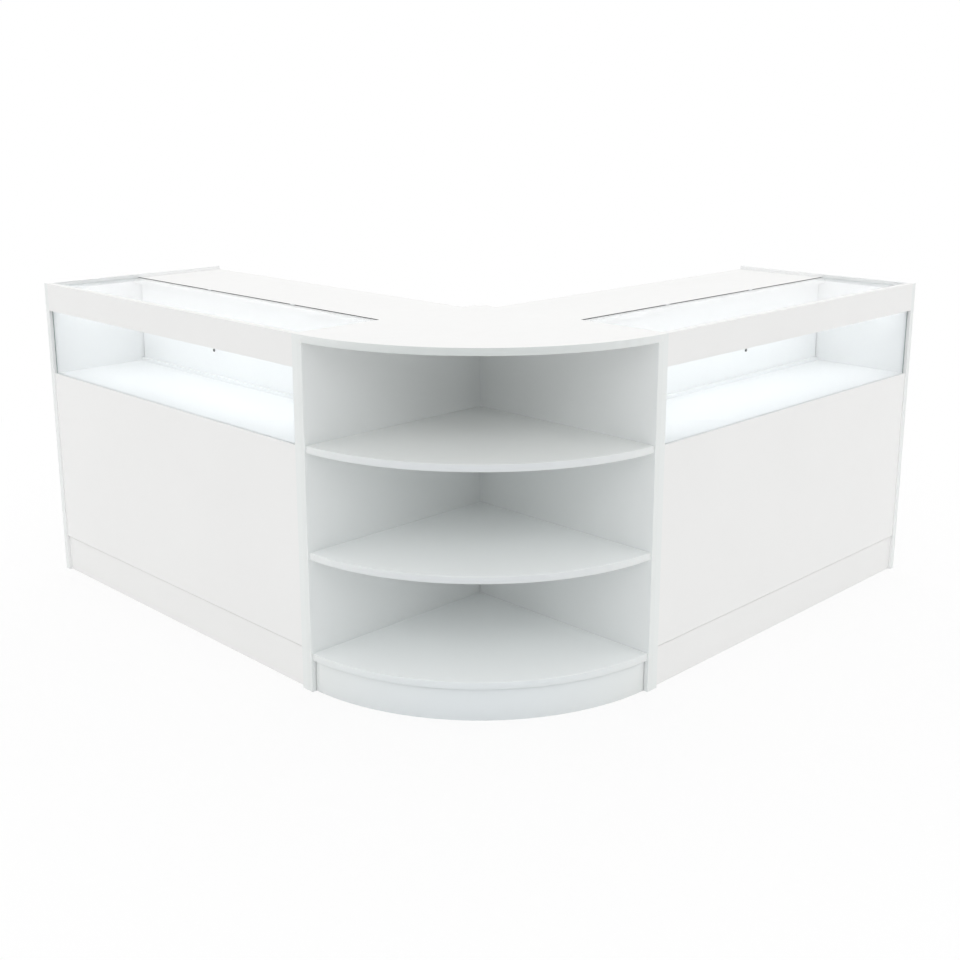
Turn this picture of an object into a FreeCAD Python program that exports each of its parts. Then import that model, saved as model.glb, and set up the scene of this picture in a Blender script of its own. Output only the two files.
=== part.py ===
"""Shop counter: two glazed display wings that meet at a quarter-round corner unit.

Millimetres, +Z up. The origin is on the floor, at the plan point behind the corner unit where the two wings
meet. The right wing runs along +X with its front towards -Y. The left wing is its mirror image in the plane
x = y. The corner unit fills the quarter where x and y are both below zero.
"""

import FreeCAD
import Part
import Sketcher
import os
import re

# Driving sizes in millimetres: name, value and what it measures.
SIZES = (
    ("height", 890, "floor to the top of the gables and of the corner top"),
    ("board", 18, "thickness of every board"),
    ("wing_length", 1220, "length of one wing, over its gables"),
    ("depth", 600, "front to back of a wing, and radius of the corner top"),
    ("rail_height", 80, "height of the rail above the window"),
    ("sill_height", 620, "floor to the window sill and the display floor"),
    ("plinth_height", 104, "floor to the top of the plinth and base board"),
    ("plinth_lift", 1, "gap under the plinth and kickboard"),
    ("plinth_setback", 8, "plinth behind the gables' front edges"),
    ("panel_setback", 3, "front panel behind the gables' front edges"),
    ("joint_height", 4.5, "height of the shadow joint under the front panel"),
    ("joint_depth", 12, "depth of that joint into the front panel"),
    ("rear_setback", 20, "inner boards short of the gables' rear edges"),
    ("kick_setback", 40, "kickboard in front of the gables' rear edges"),
    ("worktop_drop", 10, "worktop and top pane below the gables' tops"),
    ("glass_thickness", 5, "thickness of both panes"),
    ("glass_setback", 9, "front pane behind the gables' front edges"),
    ("groove_depth", 8, "depth of the grooves for the front pane"),
    ("glass_play", 0.3, "room on each side of the front pane in its grooves"),
    ("glass_end_gap", 0.5, "room at the panes' ends"),
    ("glass_head_gap", 1, "room above the front pane in the rail's groove"),
    ("glass_reach", 304, "front of the wing to the worktop's front edge"),
    ("glass_rear_gap", 2, "gap between the top pane and the worktop"),
    ("seal_rise", 1, "seal in that gap above the top pane"),
    ("batten", 15, "section of the battens under the top pane"),
    ("clip_width", 14, "glass clip along the wing"),
    ("clip_depth", 6, "glass clip out from the worktop's edge"),
    ("clip_height", 2, "glass clip above the pane"),
    ("profile_width", 17, "height of the light profile"),
    ("profile_depth", 8, "light profile out from the rail"),
    ("profile_wall", 1.2, "wall of the light profile"),
    ("profile_gap", 6, "light profile below the front batten"),
    ("profile_end_gap", 2, "light profile short of the gables"),
    ("strip_width", 10, "width of the light strip"),
    ("strip_thickness", 1.5, "thickness of the light strip"),
    ("lens_thickness", 1.5, "thickness of the light's lens"),
    ("flap_end_gap", 3, "flap short of the gables"),
    ("flap_top_gap", 6, "flap below the worktop"),
    ("flap_floor_gap", 2, "flap above the display floor"),
    ("flap_front_gap", 5, "flap behind the worktop's front edge"),
    ("stop_size", 10, "section of the flap's stop strip"),
    ("stop_gap", 0.3, "room between the flap and its stop"),
    ("pivot_radius", 3, "radius of the flap's pivot pins"),
    ("pivot_bite", 16, "length of a pivot pin inside the flap"),
    ("pivot_seat", 9, "length of a pivot pin inside its gable"),
    ("running_clearance", 0.05, "room around a pivot pin in its bush"),
    ("bush_wall", 1.5, "wall of a pivot bush"),
    ("bush_depth", 11, "depth of a pivot bush in its gable"),
    ("flange_radius", 7, "radius of a pivot bush's flange"),
    ("flange_thickness", 2.5, "thickness of a pivot bush's flange"),
    ("knob_height_share", 0.345, "knobs up the flap, as a share of its height"),
    ("knob_stem_radius", 6, "radius of a knob's stem"),
    ("knob_stem_length", 8, "length of a knob's stem"),
    ("knob_head_radius", 14, "radius of a knob's head"),
    ("knob_head_length", 14, "length of a knob's head"),
    ("knob_edge", 3, "bevel of a knob's rim"),
    ("knob_bite", 10, "length of a knob screw inside its knob"),
    ("knob_screw_radius", 2, "radius of a knob screw"),
    ("knob_screw_head_radius", 4.5, "radius of a knob screw's head"),
    ("knob_screw_head_height", 2.5, "height of a knob screw's head"),
    ("storage_shelf_height", 349, "floor to the storage shelf's underside"),
    ("shelf_end_gap", 1, "room around the storage shelf"),
    ("pin_radius", 2.5, "radius of a shelf pin"),
    ("pin_peg", 9, "shelf pin out of its board"),
    ("pin_seat", 10, "shelf pin inside its board"),
    ("pin_inset", 110, "shelf pins from a shelf's front and rear"),
    ("pin_pitch", 32, "spacing of the shelf pin holes"),
    ("shelf_setback", 3, "corner shelves behind the corner top's edge"),
    ("upper_shelf_height", 608, "floor to the upper corner shelf's underside"),
    ("lower_shelf_height", 343, "floor to the lower corner shelf's underside"),
    ("base_shelf_height", 83, "floor to the corner base shelf's underside"),
    ("corner_plinth_setback", 12, "curved plinth behind the corner top's edge"),
    ("corner_plinth_thickness", 12, "thickness of the curved plinth"),
    ("corner_plinth_end_gap", 2, "curved plinth short of the corner's sides"),
    ("dowel_radius", 4, "radius of a corner dowel"),
    ("dowel_length", 30, "length of a corner dowel"),
    ("dowel_bite", 10, "length of a dowel inside the corner top"),
    ("dowel_inset", 130, "dowels from a corner side's front and rear"),
    ("cam_radius", 7.5, "radius of a cam lock"),
    ("cam_depth", 13, "depth of a cam lock in its board"),
    ("cam_setback", 34, "cam lock's centre from its board's end"),
    ("cam_inset", 60, "cam locks from a board's front and rear"),
    ("bolt_radius", 3, "radius of a cam bolt"),
    ("bolt_bite", 10, "length of a cam bolt inside its gable"),
    ("link_radius", 3, "radius of a linking screw"),
    ("link_length", 30, "length of a linking screw under its head"),
    ("link_head_radius", 6, "radius of a linking screw's head"),
    ("link_head_height", 2.5, "height of a linking screw's head"),
    ("link_inset", 70, "linking screws from the front and rear"),
    ("link_low", 190, "floor to the lower linking screws"),
    ("link_high", 530, "floor to the upper linking screws"),
    ("fit_clearance", 0.2, "room around a fastener in its hole"),
    ("cut_overrun", 1, "how far a cutting shape runs past a face"),
)
VALUES = {name: size for name, size, note in SIZES}

# Places along the wing (x), from its front to its back (y) and up (z), in named sizes.
SPAN = "(wing_length - 2 * board)"
OUTER_FACE = "wing_length - board"
FRONT = "-depth"
RAIL_BACK = "board - depth"
PANEL_BACK = "panel_setback + board - depth"
PLINTH_BACK = "plinth_setback + board - depth"
WORKTOP_FRONT = "glass_reach - depth"
FLAP_FRONT = "glass_reach + flap_front_gap - depth"
FLAP_BACK = FLAP_FRONT + " + board"
FLAP_MIDDLE = FLAP_FRONT + " + board / 2"
KICK_BACK = "-kick_setback"
BASE_UNDER = "plinth_height - board"
FLOOR_UNDER = "sill_height - board"
RAIL_UNDER = "height - rail_height"
WORKTOP_UNDER = "height - worktop_drop - board"
GLASS_TOP = "height - worktop_drop"
GLASS_UNDER = GLASS_TOP + " - glass_thickness"
LIGHT_UNDER = GLASS_UNDER + " - batten - profile_gap - profile_width"
FLAP_TOP = WORKTOP_UNDER + " - flap_top_gap"
FLAP_AXIS = FLAP_TOP + " - board / 2"
FLAP_UNDER = "sill_height + flap_floor_gap"
FLAP_HEIGHT = f"({FLAP_TOP} - ({FLAP_UNDER}))"
KNOB_HEIGHT = f"{FLAP_UNDER} + {FLAP_HEIGHT} * knob_height_share"
THIRDS = tuple(f"board + {SPAN} * {count} / 3" for count in (1, 2))

ALONG_X = FreeCAD.Rotation(FreeCAD.Vector(0, 1, 0), 90)
ALONG_Y = FreeCAD.Rotation(FreeCAD.Vector(1, 0, 0), -90)
ALONG_Z = FreeCAD.Rotation()
HALF_TURN = FreeCAD.Rotation(FreeCAD.Vector(0, 0, 1), 180)
QUARTER_TURN = FreeCAD.Rotation(FreeCAD.Vector(0, 0, 1), 90)
ACROSS_CORNER = FreeCAD.Vector(1, -1, 0)

doc = FreeCAD.newDocument("shop_counter")
sheet = doc.addObject("Spreadsheet::Sheet", "Sizes")
for row, (name, size, note) in enumerate(SIZES, start=1):
    sheet.set(f"A{row}", note)
    sheet.set(f"B{row}", str(size))
    sheet.setAlias(f"B{row}", name)
doc.recompute()


def formula(text):
    """Turns a sum of named sizes into an expression on the sheet's cells."""
    return re.sub(r"[a-z]\w*", lambda word: "Sizes." + word.group(0), text)


def first_value(text):
    """Adds up a plain sum of named sizes, for the first drawing of an outline."""
    total = 0
    sign = 1
    for word in text.split():
        if word in "+-":
            sign = 1 if word == "+" else -1
        elif word != "0":
            total += sign * VALUES[word]
    return total


def place(piece, corner, turn=ALONG_Z):
    """Puts a piece at a corner or centre given in named sizes."""
    piece.Placement = FreeCAD.Placement(FreeCAD.Vector(), turn)
    for axis, text in zip("xyz", corner):
        piece.setExpression("Placement.Base." + axis, formula(text))
    return piece


def box(label, corner, size):
    """A plain board, bar or pane."""
    piece = doc.addObject("Part::Box", label)
    for side, text in zip(("Length", "Width", "Height"), size):
        piece.setExpression(side, formula(text))
    return place(piece, corner)


def rod(label, start, radius, length, turn):
    """A round bar or hole from its start along the axis that the turn gives."""
    piece = doc.addObject("Part::Cylinder", label)
    piece.setExpression("Radius", formula(radius))
    piece.setExpression("Height", formula(length))
    return place(piece, start, turn)


def quarter_disc(label, radius, under):
    """A quarter-round board over the corner unit, one board thick."""
    piece = rod(label, ("0", "0", under), radius, "board", HALF_TURN)
    piece.Angle = 90
    return piece


def group(label, pieces):
    """Several separate solids in one object."""
    piece = doc.addObject("Part::Compound", label)
    piece.Links = pieces
    return piece


def cut(label, base, tools):
    """A piece with holes, pockets or grooves taken out of it."""
    piece = doc.addObject("Part::Cut", label)
    piece.Base = base
    piece.Tool = group(label + "_tools", tools)
    return piece


def common(label, first, second):
    """What two shapes share."""
    piece = doc.addObject("Part::Common", label)
    piece.Base = first
    piece.Tool = second
    return piece


def mirrored(piece, label):
    """The same piece on the other wing."""
    other = doc.addObject("Part::Mirroring", label)
    other.Source = piece
    other.Normal = ACROSS_CORNER
    return other


def outline(body, role, points):
    """A closed outline of straight lines, with both coordinates of every corner tied to the sheet."""
    plane = next(part for part in body.Origin.OriginFeatures if part.Role == role)
    sketch = body.newObject("Sketcher::SketchObject", body.Name + "_outline")
    sketch.AttachmentSupport = (plane, [""])
    sketch.MapMode = "FlatFace"
    corners = [FreeCAD.Vector(first_value(across), first_value(up), 0) for across, up in points]
    following = [(number + 1) % len(points) for number in range(len(points))]
    for number, after in enumerate(following):
        sketch.addGeometry(Part.LineSegment(corners[number], corners[after]))
    for number, after in enumerate(following):
        sketch.addConstraint(Sketcher.Constraint("Coincident", number, 2, after, 1))
    for number, (across, up) in enumerate(points):
        for kind, axis, text in (("DistanceX", -2, across), ("DistanceY", -1, up)):
            if text == "0":
                sketch.addConstraint(Sketcher.Constraint("PointOnObject", number, 1, axis))
                continue
            size = Sketcher.Constraint(kind, -1, 1, number, 1, first_value(text))
            index = sketch.addConstraint(size)
            sketch.setExpression(f"Constraints[{index}]", formula(text))
    return sketch


def turned(label, start, points, turn):
    """A turned piece: its outline, as places along its axis and radii, goes round its own X axis."""
    body = doc.addObject("PartDesign::Body", label)
    sketch = outline(body, "XY_Plane", points)
    spin = body.newObject("PartDesign::Revolution", label + "_turning")
    spin.Profile = sketch
    spin.ReferenceAxis = (sketch, ["H_Axis"])
    spin.Angle = 360
    return place(body, start, turn)


def extruded(label, start, points, length):
    """A bar of one section, drawn across the wing and run along it."""
    body = doc.addObject("PartDesign::Body", label)
    sketch = outline(body, "YZ_Plane", points)
    run = body.newObject("PartDesign::Pad", label + "_run")
    run.Profile = sketch
    run.setExpression("Length", formula(length))
    return place(body, start)


def screw_outline(head_radius, head_height, radius, length):
    """Outline of a screw with a flat head, from the head's top to the tip."""
    tip = f"{head_height} + {length}"
    return (("0", "0"), ("0", head_radius), (head_height, head_radius), (head_height, radius), (tip, radius),
            (tip, "0"))


nodes = []
inner_tools = []
outer_tools = []
cam_locks = []
cam_bolts = []
shelf_pins = []
CAM_PLACES = (
    ("inner", "board + cam_setback", "board - bolt_bite", "board - bolt_bite", inner_tools),
    ("outer", f"{OUTER_FACE} - cam_setback", f"{OUTER_FACE} - cam_setback + cam_radius",
     f"{OUTER_FACE} - cam_setback", outer_tools),
)


def fasten(name, lying, face, spots):
    """Cam locks at both ends of a board, and the holes they need in it and in the gables.

    A lying board has its locks in its underside, at places across the wing. An upright one has them in its
    back, at heights.
    """
    tools = []
    for number, spot in enumerate(spots):
        for end, cam_x, bolt_x, hole_x, gable_tools in CAM_PLACES:
            label = f"{name}_{end}_{number}"
            if lying:
                cam_start = (cam_x, spot, face)
                pocket_start = (cam_x, spot, face + " - cut_overrun")
                side = (spot, face + " + board / 2")
                turn = ALONG_Z
            else:
                cam_start = (cam_x, face + " - cam_depth", spot)
                pocket_start = cam_start
                side = (face + " - board / 2", spot)
                turn = ALONG_Y
            hole = rod(label + "_hole", (hole_x, *side), "bolt_radius + fit_clearance",
                       "bolt_bite + cam_setback", ALONG_X)
            tools.append(hole)
            tools.append(rod(label + "_pocket", pocket_start, "cam_radius + fit_clearance",
                             "cam_depth + cut_overrun", turn))
            gable_tools.append(hole)
            cam_locks.append(rod(label + "_cam", cam_start, "cam_radius", "cam_depth", turn))
            cam_bolts.append(rod(label + "_bolt", (bolt_x, *side), "bolt_radius",
                                 "bolt_bite + cam_setback - cam_radius", ALONG_X))
    return tools


def both_wings(piece):
    """Takes a finished piece of the right wing, and its mirror image, into the counter."""
    nodes.append(piece)
    nodes.append(mirrored(piece, piece.Label.replace("right_", "left_")))


def both_sides(label, pieces):
    """One node for like hardware in both halves of the counter."""
    half = group(label + "_right", pieces)
    nodes.append(group(label, [half, mirrored(half, label + "_left")]))


# Front of the wing: panel, plinth, rail and kickboard stand upright between the gables.
GROOVE = ("board - cut_overrun", "glass_setback - glass_play - depth")
GROOVE_SIZE = (SPAN + " + 2 * cut_overrun", "glass_thickness + 2 * glass_play", "groove_depth + cut_overrun")
panel = box("panel_blank", ("board", "panel_setback - depth", "plinth_height"),
            (SPAN, "board", "sill_height - plinth_height"))
panel_tools = fasten("front_panel", False, PANEL_BACK,
                     ("plinth_height + cam_inset", "sill_height - cam_inset"))
panel_tools.append(box("panel_groove", (*GROOVE, "sill_height - groove_depth"), GROOVE_SIZE))
panel_tools.append(box("panel_rebate", ("board - cut_overrun", "panel_setback - cut_overrun - depth",
                                        "plinth_height - cut_overrun"),
                       (SPAN + " + 2 * cut_overrun", "joint_depth + cut_overrun",
                        "joint_height + cut_overrun")))
both_wings(cut("right_front_panel", panel, panel_tools))

rail = box("rail_blank", ("board", FRONT, RAIL_UNDER), (SPAN, "board", "rail_height"))
rail_tools = fasten("front_rail", False, RAIL_BACK, ("height - rail_height / 2",))
rail_tools.append(box("rail_groove", (*GROOVE, RAIL_UNDER + " - cut_overrun"), GROOVE_SIZE))
both_wings(cut("right_front_rail", rail, rail_tools))

plinth = box("plinth_blank", ("board", "plinth_setback - depth", "plinth_lift"),
             (SPAN, "board", "plinth_height - plinth_lift"))
plinth_tools = fasten("plinth", False, PLINTH_BACK, ("(plinth_lift + plinth_height - board) / 2",))
both_wings(cut("right_plinth", plinth, plinth_tools))

kickboard = box("kickboard_blank", ("board", KICK_BACK + " - board", "plinth_lift"),
                (SPAN, "board", "plinth_height - board - plinth_lift"))
kickboard_tools = fasten("rear_kickboard", False, KICK_BACK, ("(plinth_lift + plinth_height - board) / 2",))
both_wings(cut("right_rear_kickboard", kickboard, kickboard_tools))

# Lying boards of the wing: worktop, display floor, base board and storage shelf.
worktop = box("worktop_blank", ("board", WORKTOP_FRONT, WORKTOP_UNDER),
              (SPAN, "depth - glass_reach", "board"))
worktop_tools = fasten("worktop", True, WORKTOP_UNDER, (WORKTOP_FRONT + " + cam_inset", "-cam_inset"))
both_wings(cut("right_worktop", worktop, worktop_tools))

display_floor = box("display_floor_blank", ("board", PANEL_BACK, FLOOR_UNDER),
                    (SPAN, "depth - panel_setback - board - rear_setback", "board"))
floor_tools = fasten("display_floor", True, FLOOR_UNDER,
                     (PANEL_BACK + " + cam_inset", "-rear_setback - cam_inset"))
both_wings(cut("right_display_floor", display_floor, floor_tools))

base = box("base_board_blank", ("board", PLINTH_BACK, BASE_UNDER),
           (SPAN, "depth - plinth_setback - board - rear_setback", "board"))
base_tools = fasten("base_board", True, BASE_UNDER,
                    (PLINTH_BACK + " + cam_inset", "-kick_setback - board - cam_inset"))
both_wings(cut("right_base_board", base, base_tools))

both_wings(box("right_storage_shelf",
               ("board + shelf_end_gap", PANEL_BACK + " + shelf_end_gap", "storage_shelf_height"),
               (SPAN + " - 2 * shelf_end_gap",
                "depth - panel_setback - board - shelf_end_gap - rear_setback", "board")))

# Pins under the storage shelf, each in one hole of a row.
PIN_HEIGHT = "storage_shelf_height - pin_radius"
for side, hole_x, pin_x, gable_tools in (
    ("inner", "board - pin_seat", "board - pin_seat", inner_tools),
    ("outer", OUTER_FACE, OUTER_FACE + " - pin_peg", outer_tools),
):
    for place_name, across in (("front", PANEL_BACK + " + pin_inset"), ("rear", "-rear_setback - pin_inset")):
        label = f"storage_{side}_{place_name}"
        shelf_pins.append(rod(label + "_pin", (pin_x, across, PIN_HEIGHT), "pin_radius",
                              "pin_seat + pin_peg", ALONG_X))
        for step in range(-2, 3):
            start = (hole_x, across, f"{PIN_HEIGHT} + pin_pitch * {step}")
            gable_tools.append(rod(f"{label}_hole_{step + 2}", start, "pin_radius + fit_clearance",
                                   "pin_seat", ALONG_X))

# Glazing: the front pane stands in the two grooves, the top pane lies on two battens.
both_wings(box("right_front_glass",
               ("board + glass_end_gap", "glass_setback - depth", "sill_height - groove_depth"),
               (SPAN + " - 2 * glass_end_gap", "glass_thickness",
                "height - rail_height - sill_height + 2 * groove_depth - glass_head_gap")))
both_wings(box("right_top_glass", ("board + glass_end_gap", RAIL_BACK + " + glass_end_gap", GLASS_UNDER),
               (SPAN + " - 2 * glass_end_gap", "glass_reach - board - glass_end_gap - glass_rear_gap",
                "glass_thickness")))
both_wings(box("right_front_batten", ("board", RAIL_BACK, GLASS_UNDER + " - batten"),
               (SPAN, "batten", "batten")))
both_wings(box("right_rear_batten", ("board", WORKTOP_FRONT + " - batten", GLASS_UNDER + " - batten"),
               (SPAN, "batten", "batten")))

# Clips on the worktop's edge: a leg in the gap behind the top pane and a lip over the pane.
clip_points = (
    ("0", "glass_thickness"),
    ("clip_depth - glass_rear_gap", "glass_thickness"),
    ("clip_depth - glass_rear_gap", "0"),
    ("clip_depth", "0"),
    ("clip_depth", "glass_thickness + clip_height"),
    ("0", "glass_thickness + clip_height"),
)
glass_clips = [
    extruded(f"glass_clip_{number}",
             (f"{third} - clip_width / 2", WORKTOP_FRONT + " - clip_depth", GLASS_UNDER), clip_points,
             "clip_width")
    for number, third in enumerate(THIRDS)
]
both_sides("glass_clips", glass_clips)

# Seal in the gap behind the top pane, in three lengths between the gables and the clips.
SEAL_ENDS = ("board", *(f"{third} {sign} clip_width / 2" for third in THIRDS for sign in "-+"), OUTER_FACE)
glass_seals = [
    box(f"glass_seal_{number}", (start, WORKTOP_FRONT + " - glass_rear_gap", GLASS_UNDER),
        (f"{end} - ({start})", "glass_rear_gap", "glass_thickness + seal_rise"))
    for number, (start, end) in enumerate(zip(SEAL_ENDS[::2], SEAL_ENDS[1::2]))
]
both_sides("glass_seals", glass_seals)

# Light behind the front rail: a channel with a lit strip on its back and a lens in its mouth.
LIGHT_RUN = SPAN + " - 2 * profile_end_gap"
LIGHT_START = "board + profile_end_gap"
profile_points = (
    ("0", "0"),
    ("profile_depth", "0"),
    ("profile_depth", "profile_wall"),
    ("profile_wall", "profile_wall"),
    ("profile_wall", "profile_width - profile_wall"),
    ("profile_depth", "profile_width - profile_wall"),
    ("profile_depth", "profile_width"),
    ("0", "profile_width"),
)
both_wings(extruded("right_light_profile", (LIGHT_START, RAIL_BACK, LIGHT_UNDER), profile_points, LIGHT_RUN))
STRIP_UNDER = LIGHT_UNDER + " + (profile_width - strip_width) / 2"
both_wings(box("right_light_strip", (LIGHT_START, RAIL_BACK + " + profile_wall", STRIP_UNDER),
               (LIGHT_RUN, "strip_thickness", "strip_width")))
LENS_FRONT = RAIL_BACK + " + profile_depth - lens_thickness"
both_wings(box("right_light_lens", (LIGHT_START, LENS_FRONT, LIGHT_UNDER + " + profile_wall"),
               (LIGHT_RUN, "lens_thickness", "profile_width - 2 * profile_wall")))

# Flap that closes the display's rear: it hangs on a pivot pin at each end and is lifted by two knobs.
flap = box("flap_blank", ("board + flap_end_gap", FLAP_FRONT, FLAP_UNDER),
           (SPAN + " - 2 * flap_end_gap", "board", FLAP_HEIGHT))
flap_tools = []
pivot_pins = []
pivot_bushes = []
bush_points = (
    ("0", "pivot_radius + running_clearance"),
    ("bush_depth + flange_thickness", "pivot_radius + running_clearance"),
    ("bush_depth + flange_thickness", "flange_radius"),
    ("bush_depth", "flange_radius"),
    ("bush_depth", "pivot_radius + running_clearance + bush_wall"),
    ("0", "pivot_radius + running_clearance + bush_wall"),
)
PIVOT_LENGTH = "pivot_seat + flap_end_gap + pivot_bite"
for side, pin_x, hole_x, bush_x, seat_x, turn, gable_tools in (
    ("inner", "board - pivot_seat", "board + flap_end_gap - cut_overrun", "board - bush_depth",
     "board - bush_depth", ALONG_Z, inner_tools),
    ("outer", f"{OUTER_FACE} - flap_end_gap - pivot_bite", f"{OUTER_FACE} - flap_end_gap - pivot_bite",
     f"{OUTER_FACE} + bush_depth", OUTER_FACE, HALF_TURN, outer_tools),
):
    pivot_pins.append(rod(f"pivot_pin_{side}", (pin_x, FLAP_MIDDLE, FLAP_AXIS), "pivot_radius",
                          PIVOT_LENGTH, ALONG_X))
    pivot_bushes.append(turned(f"pivot_bush_{side}", (bush_x, FLAP_MIDDLE, FLAP_AXIS), bush_points, turn))
    flap_tools.append(rod(f"pivot_hole_{side}", (hole_x, FLAP_MIDDLE, FLAP_AXIS),
                          "pivot_radius + running_clearance", "pivot_bite + cut_overrun", ALONG_X))
    gable_tools.append(rod(f"bush_seat_{side}", (seat_x, FLAP_MIDDLE, FLAP_AXIS),
                           "pivot_radius + running_clearance + bush_wall + fit_clearance",
                           "bush_depth", ALONG_X))
both_wings(group("right_pivot_pins", pivot_pins))
both_sides("pivot_bushes", pivot_bushes)

KNOB_HOLE = "knob_screw_radius + fit_clearance"
KNOB_LENGTH = "knob_stem_length + knob_head_length"
knob_points = (
    ("0", KNOB_HOLE),
    ("0", "knob_stem_radius"),
    ("knob_stem_length", "knob_stem_radius"),
    ("knob_stem_length", "knob_head_radius"),
    (KNOB_LENGTH + " - knob_edge", "knob_head_radius"),
    (KNOB_LENGTH, "knob_head_radius - knob_edge"),
    (KNOB_LENGTH, "0"),
    ("knob_bite + fit_clearance", "0"),
    ("knob_bite + fit_clearance", KNOB_HOLE),
)
knob_screw_points = screw_outline("knob_screw_head_radius", "knob_screw_head_height", "knob_screw_radius",
                                  "board + knob_bite")
knobs = []
knob_screws = []
for number, third in enumerate(THIRDS):
    knobs.append(turned(f"knob_{number}", (third, FLAP_BACK, KNOB_HEIGHT), knob_points, QUARTER_TURN))
    head_start = (third, FLAP_FRONT + " - knob_screw_head_height", KNOB_HEIGHT)
    knob_screws.append(turned(f"knob_screw_{number}", head_start, knob_screw_points, QUARTER_TURN))
    hole_start = (third, FLAP_FRONT + " - cut_overrun", KNOB_HEIGHT)
    flap_tools.append(rod(f"knob_hole_{number}", hole_start, KNOB_HOLE, "board + 2 * cut_overrun", ALONG_Y))
both_wings(cut("right_flap", flap, flap_tools))
both_wings(group("right_knobs", knobs))
both_wings(group("right_knob_screws", knob_screws))
both_wings(box("right_flap_stop", ("board", FLAP_FRONT + " - stop_gap - stop_size", "sill_height"),
               (SPAN, "stop_size", "stop_size")))

# Screws that link each wing's inner gable to the corner unit's side, from inside the wing.
link_points = screw_outline("link_head_radius", "link_head_height", "link_radius", "link_length")
link_screws = []
link_holes = []
for number, (across, up) in enumerate((across, up) for across in ("link_inset - depth", "-link_inset")
                                      for up in ("link_low", "link_high")):
    head_start = ("board + link_head_height", across, up)
    link_screws.append(turned(f"link_screw_{number}", head_start, link_points, HALF_TURN))
    link_holes.append(rod(f"link_hole_{number}", ("board - link_length", across, up),
                          "link_radius + fit_clearance", "link_length + cut_overrun", ALONG_X))
both_sides("linking_screws", link_screws)

# Gables, once every hole in them is known.
GABLE_SIZE = ("board", "depth", "height")
inner_gable = box("inner_gable_blank", ("0", FRONT, "0"), GABLE_SIZE)
outer_gable = box("outer_gable_blank", (OUTER_FACE, FRONT, "0"), GABLE_SIZE)
both_wings(cut("right_inner_gable", inner_gable, inner_tools + link_holes))
both_wings(cut("right_outer_gable", outer_gable, outer_tools))

# Corner unit: two upright sides, a quarter-round top and shelves, and a curved plinth.
side_tools = list(link_holes)
dowels = []
dowel_holes = []
for number, across in enumerate(("dowel_inset - depth", "-dowel_inset")):
    start = ("-board / 2", across, "height - board + dowel_bite - dowel_length")
    dowels.append(rod(f"dowel_{number}", start, "dowel_radius", "dowel_length", ALONG_Z))
    dowel_holes.append(rod(f"dowel_hole_{number}", start, "dowel_radius + fit_clearance", "dowel_length",
                           ALONG_Z))
both_sides("corner_dowels", dowels)
side_tools.extend(dowel_holes)
CORNER_SHELVES = {
    "upper_shelf": "upper_shelf_height",
    "lower_shelf": "lower_shelf_height",
    "base_shelf": "base_shelf_height",
}
for name, under in CORNER_SHELVES.items():
    for place_name, across in (("front", "pin_inset - depth"), ("rear", "-board - pin_inset")):
        label = f"corner_{name}_{place_name}"
        start = (across, under + " - pin_radius")
        shelf_pins.append(rod(label + "_pin", ("-board - pin_peg", *start), "pin_radius",
                              "pin_seat + pin_peg", ALONG_X))
        side_tools.append(rod(label + "_hole", ("-board - cut_overrun", *start), "pin_radius + fit_clearance",
                              "pin_seat + cut_overrun", ALONG_X))
both_sides("shelf_pins", shelf_pins)
both_sides("cam_locks", cam_locks)
both_sides("cam_bolts", cam_bolts)

right_side = box("right_side_blank", ("-board", FRONT, "0"), ("board", "depth", "height - board"))
left_side = box("left_side_blank", (FRONT, "-board", "0"), ("depth - board", "board", "height - board"))
nodes.append(cut("corner_right_side", right_side, side_tools))
left_side_tools = mirrored(group("side_tools", side_tools), "left_side_tools")
nodes.append(cut("corner_left_side", left_side, [left_side_tools]))
top_holes = group("top_holes", dowel_holes)
nodes.append(cut("corner_top", quarter_disc("top_blank", "depth", "height - board"),
                 [top_holes, mirrored(top_holes, "left_top_holes")]))

BETWEEN_SIDES = ("depth - board", "depth - board", "height")
for name, under in CORNER_SHELVES.items():
    disc = quarter_disc(name + "_disc", "depth - shelf_setback", under)
    nodes.append(common("corner_" + name, disc, box(name + "_room", (FRONT, FRONT, "0"), BETWEEN_SIDES)))

PLINTH_RADIUS = "depth - corner_plinth_setback"
plinth_outside = rod("curved_plinth_outside", ("0", "0", "0"), PLINTH_RADIUS, "base_shelf_height", HALF_TURN)
plinth_inside = rod("curved_plinth_inside", ("0", "0", "-cut_overrun"),
                    PLINTH_RADIUS + " - corner_plinth_thickness",
                    "base_shelf_height + 2 * cut_overrun", HALF_TURN)
plinth_outside.Angle = 90
curve = cut("curved_plinth_ring", plinth_outside, [plinth_inside])
PLINTH_ROOM = tuple(f"{size} - corner_plinth_end_gap" for size in BETWEEN_SIDES)
nodes.append(common("corner_plinth", curve, box("curved_plinth_room", (FRONT, FRONT, "0"), PLINTH_ROOM)))

doc.recompute()
for item in doc.Objects:
    if "Invalid" in item.State or "Error" in item.State:
        raise RuntimeError(f"{item.Label} failed: {item.State}")
for node in nodes:
    if node.Shape.isNull() or not node.Shape.isValid() or not node.Shape.Solids:
        raise RuntimeError(f"{node.Label} has no valid solid")

os.makedirs("parts", exist_ok=True)
for node in nodes:
    node.Shape.exportStep(f"parts/{node.Label}.step")
print(len(nodes), "nodes,", sum(len(node.Shape.Solids) for node in nodes), "solids")
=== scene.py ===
"""Shop counter: finishes, panes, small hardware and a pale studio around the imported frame.

Metres, +Z up. The right wing runs along +X with its front towards -Y, and the left wing mirrors it in the
plane x = y. The quarter-round corner unit stands where x and y are both below zero.
"""

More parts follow.
